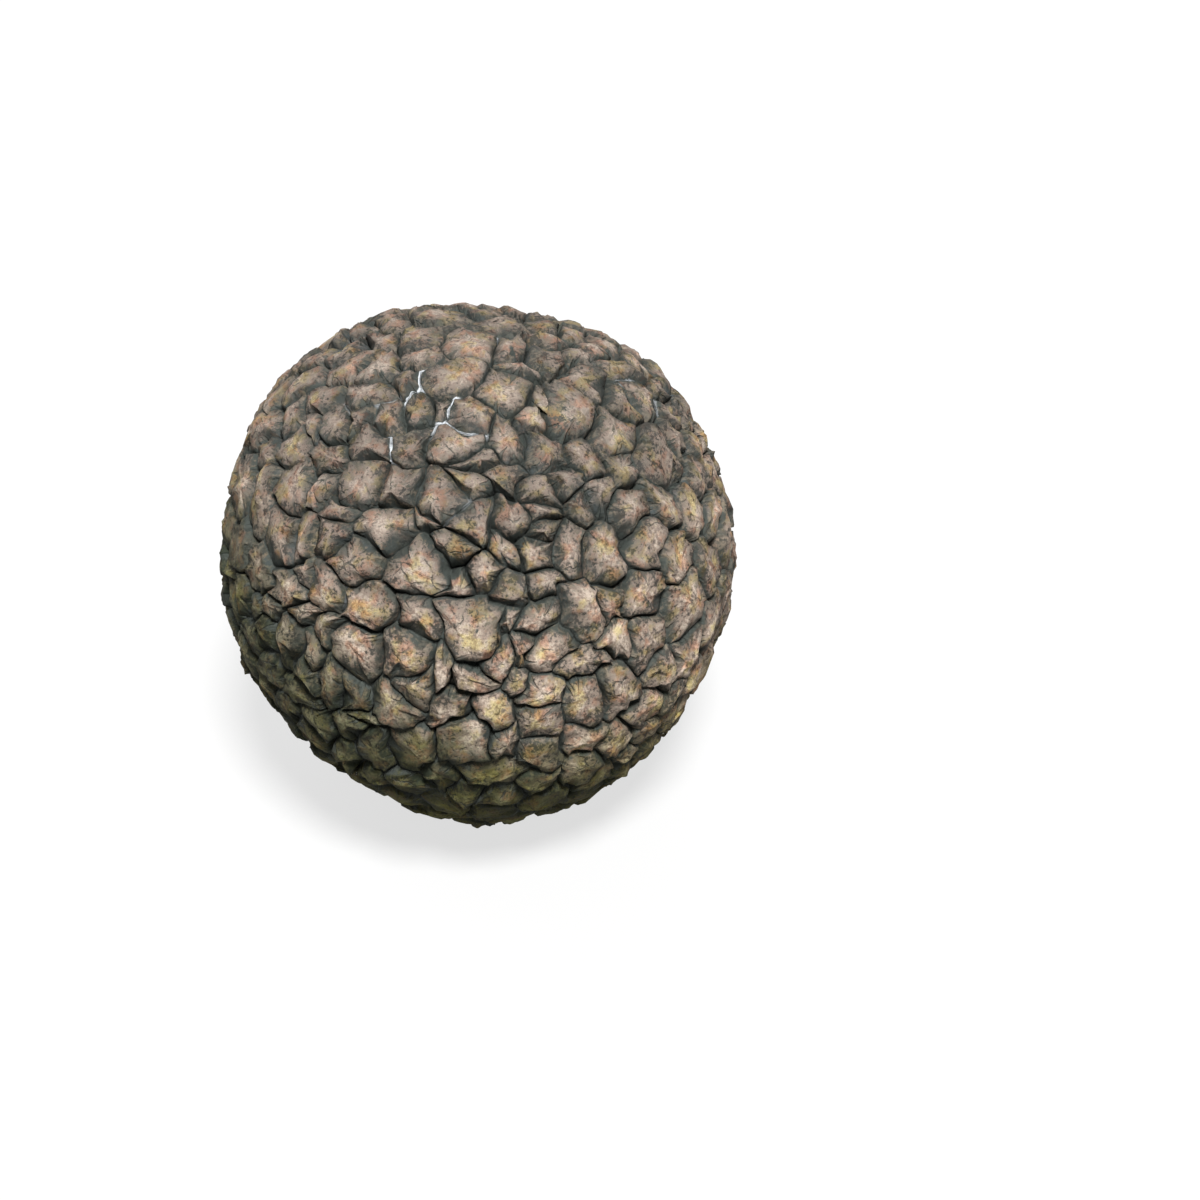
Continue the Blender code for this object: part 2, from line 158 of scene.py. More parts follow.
WANDER_WAVES = (7, 0.022, 0.0045)
UNWINDING_ROUNDS = 4  # to find the place that is pushed to where one is wanted

# The finer grid of the crust
STEP_LENGTH = 0.00067  # between grid points along a furrow
MOST_STEPS = 6
TOP_WAYS = (0.38, 0.70, 0.91, 1.0)  # rows of points from a wart's top to its brow, as shares of the way
FLANK_WAYS = (0.5, 1.0)  # from the brow to the lip of the crevice
CREVICE_WAYS = (0.55,)  # from the lip to the middle of the furrow

# Furrows with white threads in them: a place near the furrow's middle in the same shares, and how many
THREADED_FURROWS = (
    (-0.39, 0.61, 0.45), (-0.28, 0.65, 1.0), (-0.23, 0.69, 1.0), (-0.1, 0.6, 0.8), (-0.12, 0.56, 1.0),
    (-0.17, 0.53, 0.9), (-0.09, 0.52, 0.7), (-0.35, 0.42, 1.0), (-0.52, 0.6, 0.4), (0.03, 0.87, 0.5),
    (0.6, 0.7, 0.6), (0.66, 0.64, 0.5), (-0.06, 0.21, 0.4), (-0.5, -0.15, 0.35),
)
SCATTERED_THREADS = 26
SCATTERED_STRENGTHS = (0.3, 0.8)
HIDDEN_COSINE = 0.2  # of the angle from the front's own direction, for places that the photo hides
FLANK_SPREAD = 0.45  # of the logarithm of a flank's width, within a furrow
FURROW_SPREAD = 0.65  # and from one furrow to another
NARROW_SIDE = (0.0, 0.45, 0.89)  # the way that the narrowest flanks of the warts are turned
SIDE_CONTRAST = 0.55  # of the logarithm of a flank's width, between that side and the middling ones
NARROW_FLANK = 0.00025  # as wide as the shallowest flanks
WIDE_FLANK = 0.0009  # and as the deepest, which are painted darkest, as shade
WIDE_DEEPENING = 0.35  # share by which those reach deeper, and the narrow ones less deep
TILT = 0.06  # of a wart's top, beside its lean in the solid
# Holes in the crust, in the same shares, with radius and depth in metres
FRONT_HOLES = (
    (0.306, 0.507, 0.00075, 0.0016),
    (0.183, 0.589, 0.00055, 0.0013),
    (-0.194, 0.090, 0.00070, 0.0015),
    (-0.175, 0.035, 0.00080, 0.0017),
    (0.012, 0.300, 0.00080, 0.0016),
    (0.176, 0.037, 0.00070, 0.0014),
    (-0.003, 0.142, 0.00055, 0.0012),
    (-0.018, -0.268, 0.00035, 0.0007),
    (0.120, 0.800, 0.00045, 0.0008),
    (0.170, 0.770, 0.00045, 0.0008),
    (-0.320, -0.410, 0.00040, 0.0006),
    (-0.090, -0.640, 0.00060, 0.0010),
)
HOLE_SEED = 7
SCATTERED_HOLES = 46
SCATTERED_RADII = (0.0003, 0.0008)
SCATTERED_DEPTHS = (0.0004, 0.0013)
WIDE_HOLE = 0.0005  # the radius from which on a hole opens where warts meet
SHADED_HOLE = 0.0008  # the depth from which on it is painted as dark as the furrows, as shade in the hole

# The relief across a wart, from its top past its brow and lip to the furrow's bottom
CREST_POWER = 1.5  # how late the top's rise fades out
FLANK_POWER = 1.1
CREVICE_POWER = 0.8
LEAN_FADING = 0.6  # share of the top's lean that is gone at the lip
THREAD_FILLING = 0.8  # share of a furrow's depth that a white thread fills
MOST_CREVICE = 0.3  # of the way from a top to its furrow
FLANK_SHARES = (0.04, 0.55)  # the least and the most of that way
CREVICE_DRAWS = ((0.50, 0.0), (0.40, 0.35))  # spread and mean of the logarithm, along furrows and at corners
FLUTE_DRAWS = (-0.3, 1.7)
STREAK_REACH = 20.0  # of the places in the streaks' noise where the warts begin

# Waves of the relief: how many, the longest and the shortest in metres
FINE_WANDER_WAVES = (18, 0.0046, 0.0012)
FINE_WANDER = 0.00013
KNOB_WAVES = (30, 0.0054, 0.0027)
LUMP_WAVES = (30, 0.0026, 0.0014)
ROUGHNESS_WAVES = (36, 0.0017, 0.0009)
KNOB_LEVEL = 0.8  # about the mean of |waves|
LUMP_SHARE = 0.5  # of the knobs' height
ROUGH_REACH = 1.6  # the fall down to which the crust is uneven

MASKS = ("crest", "fall", "furrow_distance", "thread", "wide", "tone")
MILLIMETRES = 1000.0  # in a metre
TINY = 1e-6  # where a direction away from a top is as good as none

# Noises of the crust's colours: waves per metre, detail and roughness. The last two waver with the
# direction away from a wart's top, which is one long, so they make streaks down the wart
NOISES = {
    "flakes": (760.0, 6.0, 0.62),
    "patches": (260.0, 4.0, 0.60),
    "fine": (2400.0, 5.0, 0.65),
    "warm": (620.0, 3.0, 0.55),
    "yellow": (480.0, 3.0, 0.55),
    "covering": (290.0, 2.0, 0.55),
    "dust": (220.0, 5.0, 0.65),
    "narrowing": (300.0, 2.0, 0.55),
    "cracked": (330.0, 2.0, 0.55),
    "broken": (800.0, 2.0, 0.55),
    "streak": (3.4, 3.0, 0.55),
    "shaded_gusset": (2.6, 1.0, 0.55),
}
# Where each mask begins and where it is full, and, if not 0 and 1, its values there
RAMPS = {
    "top": (0.26, 0.48),
    "pale": (0.50, 0.76),
    "warm": (0.48, 0.66),
    "yellow": (0.48, 0.66),
    "shade": (0.034, 0.018),
    "high": (0.036, 0.051),
    "olive": (0.028, 0.010),
    "flank streaks": (0.44, 0.70),
    "wide": (0.2, 0.9, 0.0, 0.9),
    "covering": (0.36, 0.60, 0.50, 1.0),
    "flank": (0.26, 0.86),
    "dust": (0.50, 0.66, 0.0, 0.55),
    "dust height": (0.032, 0.046),
    "dust fall": (0.0, 0.9, 0.15, 1.0),
    "narrowing": (0.38, 0.62, 0.6, 2.0),
    "furrow": (0.26, 0.10),
    "shaded_gusset": (0.50, 0.62),
    "hole": (0.22, 0.40),
    "cracked": (0.54, 0.64),
    "crack": (0.06, 0.012),
    "speck": (0.24, 0.12),
    "speck chance": (0.72, 0.80),
    "broken": (0.30, 0.44),
    "thread": (0.23, 0.12),
    "threaded": (0.15, 0.9),
    "roughness": (0.3, 0.7, 0.62, 0.88),
}
# How strongly each noise and mask sways the tone of the tops, and the edge of the flanks
WART_TONE = 0.05
# The crest's sway is painted shading: each domed top lighter in its middle and darker towards its rim
TONE_AND_SHADING_SWAYS = {"fine": 1.45, "patches": 0.5, "crest": 0.26}
EDGE_SWAYS = {"flakes": 2.0, "fine": 3.0, "streak": 1.2}
PAINTED_SHADE_EDGE = 0.32  # how much further the dark flanks reach where shade is painted: on the left, low down and high up
RIM_PAINTED_SHADE = 0.42  # and towards a top's rim, where shade is painted on its rounded edge
FLANK_STREAKS = 1.2
RAGGED_FINE = 0.7
RAGGED_LINE = 0.16
RAGGED_GUSSET = 0.35
RAGGED_HOLE = 0.8
RAGGED_THREAD = 0.22
SHADE_AND_OLIVE_PATCHES = 0.016  # metres that the edge of the painted shade and of the olive tint wavers up and down
SHADE_SLANT = 0.55  # how much higher the painted shade stands on the left
GUSSET_LENGTH = 0.12  # how fast the gussets of painted shade end away from a furrow, per millimetre
GUSSET_PAINTED_SHADE = 0.7
CRACK_PUSH_SCALE = 700.0
CRACK_PUSH = 0.0012
CRACK_CELLS = 480.0
CRACK_DARKNESS = 0.6
SPECK_CELLS = 620.0
SPECK_DARKNESS = 0.5
GRAIN_FLAKES = 1.7  # shares of each noise in the grain's height
GRAIN_FINE = 0.55
GRAIN_STREAKS = 0.9
GRAIN_DARK = 1.1  # how much lower the cracks and gussets are
SPECULAR = 0.35
# How the nodes are laid out
NODES_ABREAST = 12
NODE_WIDTH = 220
NODE_HEIGHT = 260

# The stage: where the lights come from and how far they spread in degrees, the world and the camera
FLOOR_REACH = 3.0
FLOOR_ROUGHNESS = 0.9
KEY_PLACE = (0.06, -0.29, 0.53)
KEY_SPREAD = 15.0
BACK_PLACE = (-0.25, 0.55, 0.45)
BACK_SPREAD = 70.0
WORLD_STRENGTH = 0.18
LENS = 85.0
NEAREST_SEEN = 0.01
CAMERA_SHIFT = (0.01405, -0.0047)  # to the right and up, as the truffle stands left of the middle


# Settings


def in_metres(name, description, default, least, most):
    """A setting in metres."""
    return FloatProperty(
        name=name, description=description, default=default, min=least, max=most, unit="LENGTH", precision=5
    )


def as_share(name, description, default):
    """A setting between none and all."""
    return FloatProperty(
        name=name, description=description, default=default, min=0.0, max=1.0, subtype="FACTOR"
    )


def as_strength(name, description, default):
    """A light's strength."""
    return FloatProperty(name=name, description=description, default=default, min=0.0)


def as_colour(name, description, default):
    """A colour setting."""
    return FloatVectorProperty(name=name, description=description, default=default, subtype="COLOR")


class CrustShape(bpy.types.PropertyGroup):
    """Relief that is finer than the solid's"""

    crevice_width: in_metres(
        "Crevice width", "From the lip of a furrow's narrow bottom to its middle", 0.00017, 0.00005, 0.0005
    )
    dome: in_metres("Dome", "How much more a wart's top rises than in the solid", 0.00012, 0.0, 0.0005)
    flank_width: in_metres(
        "Flank width", "From a wart's brow down to the lip of the crevice", 0.00025, 0.0001, 0.001
    )
    lip_depth: as_share("Lip depth", "Share of a furrow's depth that is above the lip of its crevice", 0.60)
    fluting: in_metres("Fluting", "How much lower a brow is between two ridges", 0.00016, 0.0, 0.0005)
    knob_height: in_metres("Knob height", "Height of the small knobs on the warts' tops", 0.00018, 0.0, 0.001)
    roughness_height: in_metres("Roughness", "Height of the crust's unevenness", 0.00006, 0.0, 0.0005)


class CrustFinish(bpy.types.PropertyGroup):
    """Colours and fine grain of the crust"""

    top_colour: as_colour("Top", "Colour of the warts' worn tops", (0.306, 0.238, 0.190))
    dark_colour: as_colour("Dark flakes", "Colour of the darkest places on the tops", (0.066, 0.060, 0.050))
    pale_colour: as_colour("Pale flakes", "Colour of the palest flakes on the tops", (0.60, 0.495, 0.40))
    warm_tint: as_colour("Warm tint", "Multiplies the colour of some places on the tops", (1.04, 0.79, 0.69))
    yellow_tint: as_colour("Yellow tint", "Multiplies the colour of other places", (0.99, 0.98, 0.62))
    # The flanks' own colour, and also the colour of the painted shade in the gussets
    flank_and_shade_colour: as_colour("Flank", "Colour of the warts' sides", (0.056, 0.065, 0.056))
    streak_colour: as_colour("Flank streaks", "Colour of the streaks down the sides", (0.185, 0.158, 0.118))
    # The furrows' own colour, and also the colour of painted shade on wide flanks and in holes
    furrow_and_shade_colour: as_colour("Furrow", "Colour of the bottoms of the furrows", (0.050, 0.058, 0.051))
    # Painted shade high up, where the key light falls most squarely
    high_painted_shade_tint: as_colour("Upper tint", "Multiplies the colours high up", (0.74, 0.74, 0.755))
    # Painted shade, tinted green as by reflected grass: darkens the colours on the left and low down
    shade_tint: as_colour("Dark tint", "Multiplies the colours on the left and low down", (0.35, 0.41, 0.28))
    # Partly soil, partly a painted reflection of grass: an olive tint at the bottom
    olive_soil_and_reflection_tint: as_colour("Olive tint", "Multiplies the colours at the bottom as well", (0.95, 0.96, 0.56))
    dust_colour: as_colour("Dust", "Colour of the dust on the upper side", (0.074, 0.090, 0.096))
    thread_colour: as_colour("Threads", "Colour of the white threads in some furrows", (0.66, 0.69, 0.72))
    grain_depth: in_metres("Grain depth", "Depth of the finest grain of the crust", 0.00018, 0.0, 0.001)


class StageLook(bpy.types.PropertyGroup):
    """The floor, the lights and the camera"""

    floor_colour: as_colour("Floor", "Colour of the plain floor", (0.62, 0.62, 0.615))
    key_strength: as_strength("Key light", "Strength of the light in front", 5.0)
    back_strength: as_strength("Back light", "Strength of the light behind", 0.8)
    floor_bounce: as_share("Floor bounce", "Share of its colour that throws light up at the truffle", 0.35)
    floor_glow: as_share("Floor glow", "Share of the floor's brightness that shadows do not take away", 0.70)
    camera_distance: in_metres("Camera distance", "From the camera to the truffle's middle", 0.3317, 0.1, 3.0)


# The pattern of warts, as in the solid


def unit(vectors):
    """The same vectors, each made one long."""
    return vectors / np.linalg.norm(vectors, axis=-1, keepdims=True)


def direction(azimuth, elevation):
    """The unit direction at an azimuth from the front towards the right, and an elevation, in degrees."""
    a, e = math.radians(azimuth), math.radians(elevation)
    return np.array((math.sin(a) * math.cos(e), -math.cos(a) * math.cos(e), math.sin(e)))


def front_direction(right, up, near=0.0):
    """The unit direction to a place right of the body's middle, above it and near the eye, along the
    front view's own axes."""
    sine, cosine = math.sin(FRONT_ELEVATION), math.cos(FRONT_ELEVATION)
    return unit(np.array((right, up * sine - near * cosine, up * cosine + near * sine)))


def swellings():
    """All swellings as rows of a unit direction, a height and the cosine fall-off of the reach."""
    rows = []
    for angle, height, reach in OUTLINE_SWELLINGS:
        place = math.radians(angle)
        rows.append((front_direction(math.cos(place), math.sin(place)), height, reach))
    rows += [(direction(a, e), h, r) for a, e, h, r in BODY_SWELLINGS]
    return [(d, h, 1.0 - math.cos(math.radians(r))) for d, h, r in rows]


def body_radius(directions):
    """Distance from the middle to the smooth body: an ellipsoid, plus h exp(-(1 - cos) / fall) for
    each swelling of height h, where cos is of the angle to the swelling's own direction."""
    halves = np.array((HALF_WIDTH, HALF_DEPTH, HALF_HEIGHT))
    radius = 1.0 / np.linalg.norm(directions / halves, axis=-1)
    for towards, height, fall in swellings():
        radius = radius + height * np.exp((directions @ towards - 1.0) / fall)
    return radius


def seen_direction(right, up):
    """The unit direction to what the eye sees at a place right of the view's middle and above it, in
    shares of the view's half: where the line of sight meets the body."""
    aim = VIEW_MIDDLE + VIEW_HALF * np.array((right, up, 0.0))
    sight = unit(EYE - aim)
    along = aim @ sight
    radius = HALF_WIDTH
    for _ in range(SIGHT_ROUNDS):
        way = math.sqrt(max(0.0, along**2 - aim @ aim + radius**2)) - along
        towards = front_direction(*(aim + way * sight))
        radius = body_radius(towards[None])[0]
    return towards


def waves(rng, count, longest, shortest):
    """Random plane waves: wave vectors per metre, phases and strengths, for wave_sum."""
    lengths = np.geomspace(longest, shortest, count)
    vectors = unit(rng.normal(size=(count, 3))) * (2.0 * math.pi / lengths)[:, None]
    return vectors, rng.uniform(0.0, 2.0 * math.pi, count), np.full(count, math.sqrt(2.0 / count))


def wave_sum(points, bundle):
    """The sum of sines, strength sin(vector . point + phase), over a bundle of waves."""
    vectors, phases, strengths = bundle
    return np.sin(points @ vectors.T + phases) @ strengths


def push(directions, wander):
    """How far the pattern is pushed about, by three sums of long waves, one for each axis."""
    waving = [wave_sum(directions * HALF_WIDTH, bundle) for bundle in wander]
    return WANDER / HALF_WIDTH * np.stack(waving, axis=-1)


def wandered(directions, pattern):
    """The directions pushed about."""
    return unit(directions + push(directions, pattern["wander"]))


def front_places(rows, wander):
    """The directions, before they wander, of rows that begin with a place in the front view."""
    seen = np.array([seen_direction(row[0], row[1]) for row in rows])
    found = seen
    for _ in range(UNWINDING_ROUNDS):
        found = unit(seen - push(found, wander))
    return found


def scatter_warts(rng, wander):
    """Wart centres as unit directions, and the warts' radii as angles: the ones of the front, one right
    under the truffle, and darts thrown at the sphere one after another. Each dart stays if it is clear of
    all before it by the distance wanted there."""
    size = 0.5 * (HALF_WIDTH + HALF_DEPTH)
    patches = waves(rng, *SIZE_WAVES)
    darts = unit(rng.normal(size=(DARTS, 3)))
    wanted = CLOSEST_WARTS / size * np.exp(SIZE_SPREAD * wave_sum(darts * size, patches))
    wanted *= rng.choice(SIZE_STEPS, DARTS, p=SIZE_ODDS)
    kept = np.vstack((front_places(BOLD_WARTS, wander), (0.0, 0.0, -1.0)))
    clearances = np.array([0.001 * across for _, _, across in BOLD_WARTS] + [CLOSEST_WARTS]) / size
    for dart, clearance in zip(darts, wanted):
        apart = np.linalg.norm(kept - dart, axis=1)
        if np.all(apart > 0.5 * (clearances + clearance)):
            kept = np.vstack((kept, dart))
            clearances = np.append(clearances, clearance)
    return kept, 0.5 * clearances


def weighted(centres, radii):
    """The centres pushed outwards by their warts' size, centre / cos(radius), so that the furrow between
    a wide wart and a narrow one runs nearer to the narrow one."""
    return centres / np.cos(radii)[:, None]


def neighbour_triangles(centres):
    """The triangles of neighbouring warts, which are the faces of the weighted centres' convex hull, as
    rows of three wart numbers, turned to face outwards."""
    hull = bmesh.new()
    for number, centre in enumerate(centres):
        hull.verts.new(centre).index = number
    hull.verts.ensure_lookup_table()
    bmesh.ops.convex_hull(hull, input=hull.verts, use_existing_faces=False)
    bmesh.ops.triangulate(hull, faces=hull.faces)
    faces = np.array([[v.index for v in face.verts] for face in hull.faces])
    hull.free()
    a, b, c = (centres[faces[:, k]] for k in range(3))
    inwards = np.einsum("ij,ij->i", np.cross(b - a, c - a), a + b + c) < 0.0
    faces[inwards] = faces[inwards][:, ::-1]
    return faces


def furrow_corners(centres, faces):
    """The point where three warts meet: the direction square to their weighted centres' triangle."""
    a, b, c = (centres[faces[:, k]] for k in range(3))
    return unit(np.cross(b - a, c - a))


def matching(keys, wanted):
    """For every wanted key, the number at which it stands among the keys."""
    order = np.argsort(keys)
    return order[np.searchsorted(keys[order], wanted)]


def wedge_table(faces):
    """Every wedge as a wart's number and the numbers of the two corners at its furrow's ends, counted the
    way that keeps the wart on the left."""
    first = faces.ravel()
    second = np.roll(faces, -1, axis=1).ravel()
    owner = np.repeat(np.arange(len(faces)), 3)
    count = int(faces.max()) + 1
    twin = matching(first * count + second, second * count + first)
    return first, owner[twin], owner


def previous_wedges(pattern):
    """For every wedge, the number of the wedge of the same wart that ends where it begins."""
    wart, before, after = pattern["wart"], pattern["before"], pattern["after"]
    count = len(pattern["corners"])
    return matching(wart * count + after, wart * count + before)


def twin_wedges(pattern):
    """For every wedge, the number of the wedge on the other side of its furrow."""
    before, after = pattern["before"], pattern["after"]
    count = len(pattern["corners"])
    return matching(before * count + after, after * count + before)


def settle(centres, radii):
    """One round of Lloyd's rule: each centre moves to the middle of its own cell's corners, but those of
    the front stay."""
    points = weighted(centres, radii)
    faces = neighbour_triangles(points)
    corners = furrow_corners(points, faces)
    total = np.zeros_like(centres)
    for k in range(3):
        np.add.at(total, faces[:, k], corners)
    settled = unit(total)
    settled[: len(BOLD_WARTS)] = centres[: len(BOLD_WARTS)]
    return settled


def wart_pattern():
    """The pattern of warts and all its random draws, in the solid's order."""
    rng = np.random.default_rng(WART_SEED)
    wander = [waves(rng, *WANDER_WAVES) for _ in range(3)]
    centres, radii = scatter_warts(rng, wander)
    for _ in range(SETTLING_ROUNDS):
        centres = settle(centres, radii)
    points = weighted(centres, radii)
    faces = neighbour_triangles(points)
    corners = furrow_corners(points, faces)
    wart, before, after = wedge_table(faces)
    cell_radius = np.zeros(len(centres))
    reach = np.linalg.norm(corners[after] - centres[wart], axis=1)
    np.add.at(cell_radius, wart, reach)
    cell_radius /= np.bincount(wart, minlength=len(centres))
    drift = TOP_DRIFT * cell_radius[:, None] * rng.normal(size=centres.shape)
    corner_depth = FURROW_DEPTH * np.exp(DEPTH_SPREAD * rng.normal(size=len(corners)))
    corner_depth[rng.random(len(corners)) < PIT_SHARE] *= PIT_DEEPENING
    return {
        "corners": corners,
        "tops": unit(centres + drift),
        "wart": wart,
        "before": before,
        "after": after,
        "corner_depth": corner_depth,
        "top_rise": TOP_RISE + RISE_SPREAD * rng.normal(size=len(centres)),
        "lean": LEAN * rng.normal(size=centres.shape),
        "shoulder": SHOULDER_PLACE + SHOULDER_SPREAD * rng.uniform(-1, 1, size=len(wart)),
        "wander": wander,
    }


def floor_height():
    """Height of the resting plane, from the middle: where the body crosses it at the spot's rim."""
    rim = unit(np.array((REST_RADIUS, 0.0, -HALF_HEIGHT)))
    return float((rim * body_radius(rim[None])[0])[2])


def surface_points(directions, heights, pattern):
    """Points of the crust: the body's radius plus the height, along the wandered direction, and no lower
    than the resting plane."""
    towards = wandered(directions, pattern)
    points = towards * (body_radius(towards) + heights)[..., None]
    points[..., 2] = np.maximum(points[..., 2], floor_height())
    return points


def high_points(pattern):
    """The solid's highest points: the tops of the warts, and the shoulders round them."""
    tops, wart = pattern["tops"], pattern["wart"]
    way = pattern["shoulder"][:, None]
    shoulders = unit(tops[wart] * (1.0 - way) + pattern["corners"][pattern["after"]] * way)
    leaning = np.sum(pattern["lean"][wart] * (shoulders - tops[wart]), axis=1) * HALF_WIDTH
    return (
        surface_points(tops, pattern["top_rise"], pattern),
        surface_points(shoulders, leaning, pattern),
    )


def middle_of_floor(pattern):
    """The middle of the floor of the box round the high points, which is the origin of the row."""
    highest = np.vstack(high_points(pattern))
    low, high = highest.min(axis=0), highest.max(axis=0)
    return np.array((0.5 * (low[0] + high[0]), 0.5 * (low[1] + high[1]), floor_height()))


# The fine crust


def thread_strength(pattern, edge, rng):
    """How much white thread the furrow of each wedge holds: the furrows named above, and seeded ones."""
    middles = unit(pattern["corners"][pattern["before"]] + pattern["corners"][pattern["after"]])
    front = front_places(THREADED_FURROWS, pattern["wander"])
    places = [(place, row[2]) for place, row in zip(front, THREADED_FURROWS)]
    scattered = unit(rng.normal(size=(SCATTERED_THREADS, 3)))
    hidden = scattered[scattered @ front_direction(0.0, 0.0, 1.0) < HIDDEN_COSINE]
    places += list(zip(hidden, rng.uniform(*SCATTERED_STRENGTHS, len(hidden))))
    thread = np.zeros(len(edge))
    for place, strength in places:
        nearest = np.argmin(np.linalg.norm(middles - place, axis=1))
        thread[edge == edge[nearest]] = strength
    return thread


def finer_draws(pattern):
    """The random draws of the fine crust: by wart, by corner, by furrow and by wedge."""
    rng = np.random.default_rng(WART_SEED + 1)
    before, after = pattern["before"], pattern["after"]
    corner_count = len(pattern["corners"])
    pair = np.minimum(before, after) * corner_count + np.maximum(before, after)
    _, edge = np.unique(pair, return_inverse=True)
    edge_count = int(edge.max()) + 1
    thread = thread_strength(pattern, edge, rng)
    corner_thread = np.zeros(corner_count)
    np.maximum.at(corner_thread, before, thread)
    np.maximum.at(corner_thread, after, thread)

    def flank_widths(shared_count, shared):
        own = FLANK_SPREAD * rng.normal(size=len(before))
        return np.exp(own + FURROW_SPREAD * rng.normal(size=shared_count)[shared])

    def crevice_widths(count, spread, mean):
        return np.exp(spread * rng.normal(size=count) + mean)

    return {
        "thread": thread,
        "corner_thread": corner_thread,
        "side_flank": flank_widths(edge_count, edge),
        "ridge_flank": flank_widths(corner_count, after),
        "tilt": TILT * rng.normal(size=pattern["tops"].shape),
        "flute": rng.uniform(*FLUTE_DRAWS, len(before)),
        "edge_crevice": crevice_widths(edge_count, *CREVICE_DRAWS[0])[edge],
        "corner_crevice": crevice_widths(corner_count, *CREVICE_DRAWS[1]),
        "tone": rng.normal(size=len(pattern["tops"])),
        "streak_start": rng.uniform(-STREAK_REACH, STREAK_REACH, pattern["tops"].shape),
        "fine_wander": [waves(rng, *FINE_WANDER_WAVES) for _ in range(3)],
        "knobs": waves(rng, *KNOB_WAVES),
        "lumps": waves(rng, *LUMP_WAVES),
        "roughness": waves(rng, *ROUGHNESS_WAVES),
    }


def hole_table(pattern):
    """Directions, radii and depths of the holes of the front and of the seeded ones all over. The wide
    ones open where warts meet."""
    rng = np.random.default_rng(HOLE_SEED)
    front = front_places(FRONT_HOLES, pattern["wander"])
    places = np.vstack((front, unit(rng.normal(size=(SCATTERED_HOLES, 3)))))
    radii = np.append([r for _, _, r, _ in FRONT_HOLES], rng.uniform(*SCATTERED_RADII, SCATTERED_HOLES))
    depths = np.append([d for _, _, _, d in FRONT_HOLES], rng.uniform(*SCATTERED_DEPTHS, SCATTERED_HOLES))
    nearest = np.argmax(places @ pattern["corners"].T, axis=1)
    wide = radii > WIDE_HOLE
    places[wide] = pattern["corners"][nearest[wide]]
    return places, radii, depths


def grid_numbers(pattern):
    """The grid points' numbers, as rows of wedges and an array (wedge, row, column) for every number of
    steps along a furrow, and the count of points. Wedges that meet share the points of their border."""
    before, after = pattern["before"], pattern["after"]
    corners = pattern["corners"]
    span = np.linalg.norm(corners[after] - corners[before], axis=1) * HALF_WIDTH
    steps = np.clip(np.round(span / STEP_LENGTH).astype(int), 2, MOST_STEPS)
    rows = len(TOP_WAYS) + len(FLANK_WAYS) + len(CREVICE_WAYS)
    wedge_before = previous_wedges(pattern)

    ridge_start = len(pattern["tops"])
    corner_start = ridge_start + rows * len(before)
    furrow_start = corner_start + len(corners)
    owners = np.flatnonzero(before < after)
    furrow_first = np.zeros(len(before), dtype=int)
    furrow_first[owners] = furrow_start + np.concatenate(([0], np.cumsum(steps[owners] - 1)[:-1]))
    twin = twin_wedges(pattern)
    furrow_first = np.where(before < after, furrow_first, furrow_first[twin])
    inner_start = furrow_start + int(np.sum(steps[owners] - 1))
    inner_first = inner_start + np.concatenate(([0], np.cumsum((steps - 1) * rows)[:-1]))
    count = inner_start + int(np.sum((steps - 1) * rows))

    classes = []
    for step_count in range(2, MOST_STEPS + 1):
        wedges = np.flatnonzero(steps == step_count)
        numbers = np.empty((len(wedges), rows + 2, step_count + 1), dtype=int)
        row = np.arange(rows)
        column = np.arange(step_count - 1)
        numbers[:, 0, :] = pattern["wart"][wedges, None]
        numbers[:, 1:-1, 0] = ridge_start + rows * wedge_before[wedges, None] + row
        numbers[:, 1:-1, -1] = ridge_start + rows * wedges[:, None] + row
        numbers[:, -1, 0] = corner_start + before[wedges]
        numbers[:, -1, -1] = corner_start + after[wedges]
        is_owner = (before < after)[wedges, None]
        along = np.where(is_owner, column, column[::-1])
        numbers[:, -1, 1:-1] = furrow_first[wedges, None] + along
        inner = row[:, None] * (step_count - 1) + column
        numbers[:, 1:-1, 1:-1] = inner_first[wedges, None, None] + inner
        classes.append((wedges, numbers))
    return classes, count


def along_furrow(at_before, at_after, s):
    """Values at the two ends of wedges' furrows as values all along them: an array (wedge, 1, column)."""
    return (at_before[:, None] * (1.0 - s) + at_after[:, None] * s)[:, None, :]


def wedge_profile(pattern, draws, shape, wedges, s, way):
    """What the wedges are like all along their furrows, where way is the step from the top to the furrow:
    arrays (wedge, 1, column), with places as shares of that way.

    A flank's width runs from one ridge's to the next one's, with 4 s (1 - s) of the side's own between
    them, and it is the smaller the more the flank is turned to the narrow side."""
    before, after = pattern["before"][wedges], pattern["after"][wedges]
    bend = 4.0 * s * (1.0 - s)
    reach = np.linalg.norm(way, axis=-1) * HALF_WIDTH

    def between(values):
        return along_furrow(values[before], values[after], s)

    def midway(values):
        return values[wedges, None, None] * bend

    wedge_before = previous_wedges(pattern)[wedges]
    width = along_furrow(draws["ridge_flank"][wedge_before], draws["ridge_flank"][wedges], s) * (1.0 - bend)
    width = shape.flank_width * (width + midway(draws["side_flank"]))
    width = width * np.exp(-SIDE_CONTRAST * (unit(way) @ np.array(NARROW_SIDE)))
    wide = np.clip((width - NARROW_FLANK) / (WIDE_FLANK - NARROW_FLANK), 0.0, 1.0)
    crevice = between(draws["corner_crevice"]) * (1.0 - bend) + midway(draws["edge_crevice"])
    lip = 1.0 - np.minimum(shape.crevice_width * crevice / reach, MOST_CREVICE)
    thread = np.maximum(between(draws["corner_thread"]) * (1.0 - bend), midway(draws["thread"]))
    depth = between(pattern["corner_depth"]) * (1.0 + (MIDDLE_DEEPENING - 1.0) * bend)
    return {
        "reach": reach,
        "lip": lip,
        "brow": lip - np.clip(width / reach, *FLANK_SHARES),
        "wide": wide,
        "thread": thread,
        "flute": shape.fluting * midway(draws["flute"]),
        "depth": depth * (1.0 - THREAD_FILLING * thread),
        "lip_depth": shape.lip_depth * (1.0 + WIDE_DEEPENING * (2.0 * wide - 1.0)),
    }


